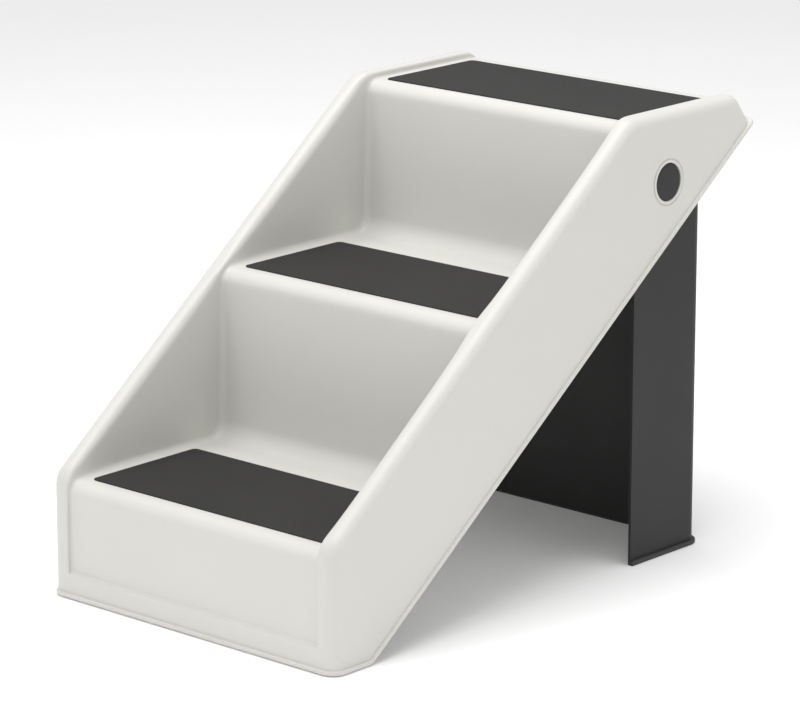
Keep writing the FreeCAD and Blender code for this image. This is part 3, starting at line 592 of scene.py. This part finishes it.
def eased(node, radius, segments=3, extra=None):
    """A copy of a CAD node with its hard edges rounded off."""
    piece = bpy.data.objects.new(f"{node}_eased", nodes[node].data.copy())
    scene.collection.objects.link(piece)
    work = bmesh.new()
    work.from_mesh(piece.data)
    bmesh.ops.remove_doubles(work, verts=work.verts, dist=1e-6)
    bmesh.ops.dissolve_limit(work, angle_limit=math.radians(0.5), verts=work.verts, edges=work.edges)
    bmesh.ops.triangulate(work, faces=[face for face in work.faces if len(face.verts) > 4])
    bmesh.ops.recalc_face_normals(work, faces=work.faces)
    work.to_mesh(piece.data)
    work.free()
    if extra:
        extra(piece)
    bevel = piece.modifiers.new("eased_edges", "BEVEL")
    bevel.width = radius * MM
    bevel.segments = segments
    bevel.limit_method = "ANGLE"
    bevel.angle_limit = math.radians(38)
    bevel.use_clamp_overlap = True
    bevel.miter_outer = "MITER_ARC"
    apply_modifiers(piece)
    smooth(piece)
    return stands_for(piece, node)


def mat(node):
    """A non-slip sheet with round corners and a soft upper edge."""
    low, high = (np.array(corner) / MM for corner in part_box(node))
    low[1] += HALF_LENGTH
    high[1] += HALF_LENGTH
    corner, edge = 6.0, 0.6
    layers = [(0.0, low[2]), (0.0, high[2] - edge)]
    layers += [(edge * (1 - math.cos(a)), high[2] - edge + edge * math.sin(a))
               for a in np.radians((30, 60, 90))]
    layers += [(edge + 4.0, high[2]), (corner - 0.5, high[2])]
    corners = ((high[0], high[1], 0), (low[0], high[1], 90), (low[0], low[1], 180), (high[0], low[1], 270))
    loops = []
    for inset, z in layers:
        radius = corner - min(inset, corner - 0.5)
        loop = []
        for cx, cy, start in corners:
            mx = cx + (corner if cx == low[0] else -corner)
            my = cy + (corner if cy == low[1] else -corner)
            loop += [(x, y, z) for x, y in arc((mx, my), radius, start, start + 90, 10)]
        loops.append(loop)
    return stands_for(smooth(solid_of_loops(f"{node}_sheet", np.array(loops))), node)


def pivot_cap(side, node):
    """A press-in cover with a slightly crowned face and a rounded rim."""
    face, inner = CAP_FACE, CAP_RADIUS - CAP_WALL
    profile = [(CAP_FOOT, inner), (CAP_FOOT, CAP_RADIUS), (face - 1.9, CAP_RADIUS)]
    profile += arc((face - 1.9, inner), CAP_WALL, 90, 10, 7)
    profile += [(face - 0.25 * (r / 19.0) ** 2, r) for r in (18.8, 16, 13, 10, 6, 3, 0)]
    profile += [(face - 1.8, 0), (face - 1.8, inner)]
    piece = turned(f"{node}_crowned", [(side * a, r) for a, r in profile], PIVOT_CENTRE, (1, 0, 0))
    return stands_for(smooth(piece), node)


def cross_recess(piece):
    """Cut a cross-shaped recess into the head of each screw."""
    low, high = (np.array(corner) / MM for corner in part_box("hook_screws"))
    middle_y = (low[1] + high[1]) / 2 + HALF_LENGTH
    for side in (-1, 1):
        x = side * (high[0] - 3.7)
        for half_x, half_y in ((2.0, 0.4), (0.4, 2.0)):
            combine(piece, "DIFFERENCE", [block(
                "recess_bar", (x - half_x, middle_y - half_y, low[2] - 1),
                (x + half_x, middle_y + half_y, low[2] + 1.1))])


for level in ("lower", "middle", "upper"):
    mat(f"tread_mat_{level}")
for side, word in ((-1, "left"), (1, "right")):
    pivot_cap(side, f"pivot_cap_{word}")
    eased(f"front_foot_{word}", 1.5, 4)
    eased(f"leg_bumper_{word}", 1.0, 4)
    eased(f"pivot_nut_{word}", 0.5)
    eased(f"pivot_bolt_{word}", 0.3, 2)
    eased(f"pivot_washer_{word}", 0.2, 2)
    eased(f"pivot_bush_{word}", 0.2, 2)
    eased(f"friction_washer_{word}", 0.15, 2)
eased("support_leg", 0.7)
eased("leg_foot_boot", 1.1, 4)
eased("storage_hook", 0.9)
eased("hook_bracket", 0.4)
eased("hook_pin", 0.4)
eased("hook_screws", 0.2, 2, cross_recess)


# ---------------------------------------------------------------- materials

def new_material(name):
    """A principled material; returns it with its tree and shader."""
    material = bpy.data.materials.new(name)
    material.use_nodes = True
    tree = material.node_tree
    shader = tree.nodes["Principled BSDF"]
    return material, tree, shader


def add(tree, kind, **inputs):
    """A shader node with the given input values; a name with two underscores stands for a space."""
    node = tree.nodes.new(kind)
    for name, value in inputs.items():
        node.inputs[name.replace("__", " ")].default_value = value
    return node


def place(tree):
    """The object's own coordinates, in metres."""
    return tree.nodes.new("ShaderNodeTexCoord").outputs["Object"]


def noise(tree, where, scale, detail=3.0, roughness=0.5):
    """A noise factor between 0 and 1."""
    node = add(tree, "ShaderNodeTexNoise", Scale=scale, Detail=detail, Roughness=roughness)
    tree.links.new(where, node.inputs["Vector"])
    return node.outputs["Fac"]


def between(tree, factor, low, high, start=0.0, end=1.0):
    """Map a factor between start and end onto a range of numbers."""
    node = add(tree, "ShaderNodeMapRange", From__Min=start, From__Max=end, To__Min=low, To__Max=high)
    tree.links.new(factor, node.inputs["Value"])
    return node.outputs["Result"]


def tint(tree, factor, dark, light):
    """Mix two colours by a factor."""
    node = tree.nodes.new("ShaderNodeMix")
    node.data_type = "RGBA"
    node.inputs["A"].default_value = (*dark, 1)
    node.inputs["B"].default_value = (*light, 1)
    tree.links.new(factor, node.inputs["Factor"])
    return node.outputs["Result"]


def relief(tree, shader, height, distance, strength=1.0):
    """Add a bump layer under whatever normal the shader already has."""
    node = add(tree, "ShaderNodeBump", Strength=strength, Distance=distance)
    tree.links.new(height, node.inputs["Height"])
    if shader.inputs["Normal"].is_linked:
        tree.links.new(shader.inputs["Normal"].links[0].from_socket, node.inputs["Normal"])
    tree.links.new(node.outputs["Normal"], shader.inputs["Normal"])


def combine_factors(tree, operation, a, b):
    """Arithmetic on two factors, either of which may be a plain number."""
    node = tree.nodes.new("ShaderNodeMath")
    node.operation = operation
    for socket, value in zip(node.inputs, (a, b)):
        if isinstance(value, (int, float)):
            socket.default_value = value
        else:
            tree.links.new(value, socket)
    return node.outputs[0]


def edge_highlight_mask(tree, radius, low, high):
    """Mask for a painted highlight: between 0 on flat areas and 1 on edges that stand proud, from the piece's
    own form.
    """
    bevel = tree.nodes.new("ShaderNodeBevel")
    bevel.samples = 6
    bevel.inputs["Radius"].default_value = radius
    geometry = tree.nodes.new("ShaderNodeNewGeometry")
    dot = tree.nodes.new("ShaderNodeVectorMath")
    dot.operation = "DOT_PRODUCT"
    tree.links.new(bevel.outputs["Normal"], dot.inputs[0])
    tree.links.new(geometry.outputs["Normal"], dot.inputs[1])
    return between(tree, dot.outputs["Value"], 1.0, 0.0, low, high)


def shell_plastic():
    """Off-white satin moulding with a very fine grain and faint unevenness from the mould."""
    material, tree, shader = new_material("shell_plastic")
    where = place(tree)
    broad = noise(tree, where, 7.0, 4.0, 0.55)
    fine = noise(tree, where, 260.0, 2.0, 0.5)
    colour = tint(tree, broad, (0.600, 0.594, 0.560), (0.640, 0.633, 0.598))
    tree.links.new(colour, shader.inputs["Base Color"])
    patches = combine_factors(tree, "ADD", broad, combine_factors(tree, "MULTIPLY", fine, 0.35))
    tree.links.new(between(tree, patches, 0.34, 0.50, 0.3, 1.0), shader.inputs["Roughness"])
    shader.inputs["IOR"].default_value = 1.49
    shader.inputs["Subsurface Weight"].default_value = 0.06
    shader.inputs["Subsurface Radius"].default_value = (0.004, 0.0035, 0.003)
    shader.inputs["Subsurface Scale"].default_value = 1.0
    relief(tree, shader, noise(tree, where, 1500.0, 2.0, 0.6), 0.00002, 0.35)
    relief(tree, shader, noise(tree, where, 38.0, 2.0, 0.4), 0.00012, 0.18)
    return material


def mat_rubber():
    """Charcoal non-slip sheet: fine grit in the surface, slightly lighter in random patches."""
    material, tree, shader = new_material("mat_rubber")
    where = place(tree)
    broad = noise(tree, where, 9.0, 5.0, 0.6)
    grit = add(tree, "ShaderNodeTexVoronoi", Scale=900.0, Randomness=1.0)
    tree.links.new(where, grit.inputs["Vector"])
    speck = noise(tree, where, 700.0, 3.0, 0.7)
    mix = combine_factors(tree, "ADD", combine_factors(tree, "MULTIPLY", broad, 0.6),
                          combine_factors(tree, "MULTIPLY", speck, 0.4))
    share = between(tree, mix, 0.0, 1.0, 0.3, 0.7)
    colour = tint(tree, share, (0.0130, 0.0126, 0.0120), (0.0200, 0.0195, 0.0187))
    tree.links.new(colour, shader.inputs["Base Color"])
    tree.links.new(between(tree, speck, 0.62, 0.85), shader.inputs["Roughness"])
    shader.inputs["Specular IOR Level"].default_value = 0.36
    relief(tree, shader, grit.outputs["Distance"], 0.0003, 0.5)
    relief(tree, shader, speck, 0.00015, 0.5)
    return material


def dark_plastic(name, dark, light, gloss, grain):
    """Charcoal moulded plastic with a fine texture and a painted highlight: edges that stand proud are
    painted slightly paler.
    """
    material, tree, shader = new_material(name)
    where = place(tree)
    broad = noise(tree, where, 11.0, 4.0, 0.55)
    fine = noise(tree, where, 900.0, 3.0, 0.6)
    body = tint(tree, broad, dark, light)
    # Painted highlight: proud edges get a paler colour in place of the light they would catch.
    painted_highlight = tree.nodes.new("ShaderNodeMix")
    painted_highlight.data_type = "RGBA"
    tree.links.new(edge_highlight_mask(tree, 0.0012, 0.90, 0.999), painted_highlight.inputs["Factor"])
    tree.links.new(body, painted_highlight.inputs["A"])
    painted_highlight.inputs["B"].default_value = (*(1.35 * c for c in light), 1)
    tree.links.new(painted_highlight.outputs["Result"], shader.inputs["Base Color"])
    dullness = combine_factors(tree, "MULTIPLY", broad, fine)
    tree.links.new(between(tree, dullness, gloss, gloss + 0.16, 0.1, 0.5), shader.inputs["Roughness"])
    shader.inputs["Specular IOR Level"].default_value = 0.36
    relief(tree, shader, fine, grain, 0.5)
    return material


def foot_rubber():
    """Matt black rubber with a slight bloom."""
    material, tree, shader = new_material("foot_rubber")
    where = place(tree)
    bloom = noise(tree, where, 60.0, 5.0, 0.65)
    colour = tint(tree, bloom, (0.030, 0.030, 0.029), (0.052, 0.051, 0.049))
    tree.links.new(colour, shader.inputs["Base Color"])
    tree.links.new(between(tree, bloom, 0.62, 0.82), shader.inputs["Roughness"])
    relief(tree, shader, noise(tree, where, 1200.0, 3.0, 0.6), 0.00006, 0.5)
    return material


def bush_plastic():
    """Natural acetal with turning marks round its axis."""
    material, tree, shader = new_material("bush_plastic")
    where = place(tree)
    cloud = noise(tree, where, 90.0, 3.0, 0.5)
    tree.links.new(tint(tree, cloud, (0.66, 0.65, 0.61), (0.76, 0.75, 0.71)), shader.inputs["Base Color"])
    tree.links.new(between(tree, cloud, 0.30, 0.42), shader.inputs["Roughness"])
    rings = add(tree, "ShaderNodeTexWave", Scale=500.0, Distortion=0.6)
    rings.bands_direction = "X"
    tree.links.new(where, rings.inputs["Vector"])
    relief(tree, shader, rings.outputs["Fac"], 0.00002, 0.4)
    shader.inputs["Subsurface Weight"].default_value = 0.1
    shader.inputs["Subsurface Radius"].default_value = (0.003, 0.003, 0.002)
    return material


def zinc_steel():
    """Zinc plate: clear grey metal with a faint cloud, fine brushing and dull spots."""
    material, tree, shader = new_material("zinc_steel")
    where = place(tree)
    cloud = noise(tree, where, 140.0, 4.0, 0.6)
    tree.links.new(tint(tree, cloud, (0.52, 0.53, 0.54), (0.70, 0.70, 0.68)), shader.inputs["Base Color"])
    shader.inputs["Metallic"].default_value = 1.0
    stretch = add(tree, "ShaderNodeMapping", Scale=(4.0, 160.0, 160.0))
    tree.links.new(where, stretch.inputs["Vector"])
    brushing = noise(tree, stretch.outputs["Vector"], 30.0, 3.0, 0.6)
    tree.links.new(between(tree, combine_factors(tree, "ADD", cloud, brushing), 0.24, 0.46, 0.6, 1.4),
                   shader.inputs["Roughness"])
    relief(tree, shader, brushing, 0.00002, 0.3)
    return material


LEG_DARK, LEG_LIGHT = (0.0150, 0.0150, 0.0148), (0.0205, 0.0205, 0.0201)
CAP_DARK, CAP_LIGHT = (0.0150, 0.0150, 0.0150), (0.0200, 0.0200, 0.0200)

MATERIALS = {
    "shell_plastic": shell_plastic(),
    "mat_rubber": mat_rubber(),
    "leg_plastic": dark_plastic("leg_plastic", LEG_DARK, LEG_LIGHT, 0.46, 0.00008),
    "cap_plastic": dark_plastic("cap_plastic", CAP_DARK, CAP_LIGHT, 0.44, 0.00004),
    "foot_rubber": foot_rubber(),
    "bush_plastic": bush_plastic(),
    "zinc_steel": zinc_steel(),
}


def finish_piece(piece, slot):
    """Give a piece its material."""
    piece.data.materials.clear()
    piece.data.materials.append(MATERIALS[slot])


for part in frame["record"]["subparts"]:
    finish_piece(nodes[part["node"]], part["material_slot"])
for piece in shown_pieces():
    if piece.name not in nodes:
        finish_piece(piece, piece["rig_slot"])


# ---------------------------------------------------------------- floor, light and camera

FLOOR_REACH, FLOOR_Z = 40.0, -0.0002
LIGHT_AIM = Vector((0, 0, 0.25))


def pale_floor():
    """A plain floor, wide enough to fill the picture, just below the feet."""
    reach = FLOOR_REACH
    mesh = bpy.data.meshes.new("floor")
    corners = ((-reach, -reach), (reach, -reach), (reach, reach), (-reach, reach))
    mesh.from_pydata([(x, y, FLOOR_Z) for x, y in corners], [], [(0, 1, 2, 3)])
    floor = bpy.data.objects.new("floor", mesh)
    scene.collection.objects.link(floor)
    material, tree, shader = new_material("floor_paper")
    where = place(tree)
    tree.links.new(tint(tree, noise(tree, where, 3.0), (0.94, 0.94, 0.94), (0.96, 0.96, 0.96)),
                   shader.inputs["Base Color"])
    shader.inputs["Roughness"].default_value = 0.9
    shader.inputs["Specular IOR Level"].default_value = 0.1
    shader.inputs["Emission Color"].default_value = (1, 1, 1, 1)
    shader.inputs["Emission Strength"].default_value = 0.08
    mesh.materials.append(material)


def way_back(azimuth, elevation):
    """Direction from the steps toward a camera or light; azimuth 0 is the front, 90 the right side."""
    return Vector((math.sin(azimuth) * math.cos(elevation),
                   -math.cos(azimuth) * math.cos(elevation), math.sin(elevation)))


def area_light(name, azimuth, elevation, distance, size, power):
    """A soft light that looks at the steps, with its angles in degrees."""
    back = way_back(math.radians(azimuth), math.radians(elevation))
    lamp = bpy.data.lights.new(name, "AREA")
    lamp.shape = "RECTANGLE"
    lamp.size, lamp.size_y = size
    lamp.energy = power
    light = bpy.data.objects.new(name, lamp)
    light.location = LIGHT_AIM + back * distance
    light.rotation_mode = "QUATERNION"
    light.rotation_quaternion = (-back).to_track_quat("-Z", "Y")
    scene.collection.objects.link(light)


CAMERA_AZIMUTH = math.radians(41.86)
CAMERA_ELEVATION = math.radians(14.99)
CAMERA_DISTANCE = 4.5144
CAMERA_LENS = 184.82
AIM = Vector((-0.0030, -0.0085, 0.2380))


def make_camera():
    """A long lens from the front right, a little above the top tread."""
    lens = bpy.data.cameras.new("camera")
    lens.sensor_width = 36.0
    lens.lens = CAMERA_LENS
    lens.clip_start, lens.clip_end = 0.1, 60.0
    camera = bpy.data.objects.new("camera", lens)
    back = way_back(CAMERA_AZIMUTH, CAMERA_ELEVATION)
    camera.location = AIM + back * CAMERA_DISTANCE
    camera.rotation_mode = "QUATERNION"
    camera.rotation_quaternion = (-back).to_track_quat("-Z", "Y")
    scene.collection.objects.link(camera)
    scene.camera = camera


make_camera()
pale_floor()
area_light("overhead", 0, 85, 2.8, (2.4, 2.4), 66)
area_light("key", -20, 35, 3.0, (2.0, 2.0), 11.5)
area_light("side_fill", 100, 25, 3.2, (2.4, 2.0), 10)

world = bpy.data.worlds.new("studio")
scene.world = world
world.use_nodes = True
world.node_tree.nodes["Background"].inputs["Color"].default_value = (1, 1, 1, 1)
world.node_tree.nodes["Background"].inputs["Strength"].default_value = 0.66
scene.view_settings.view_transform = "Standard"
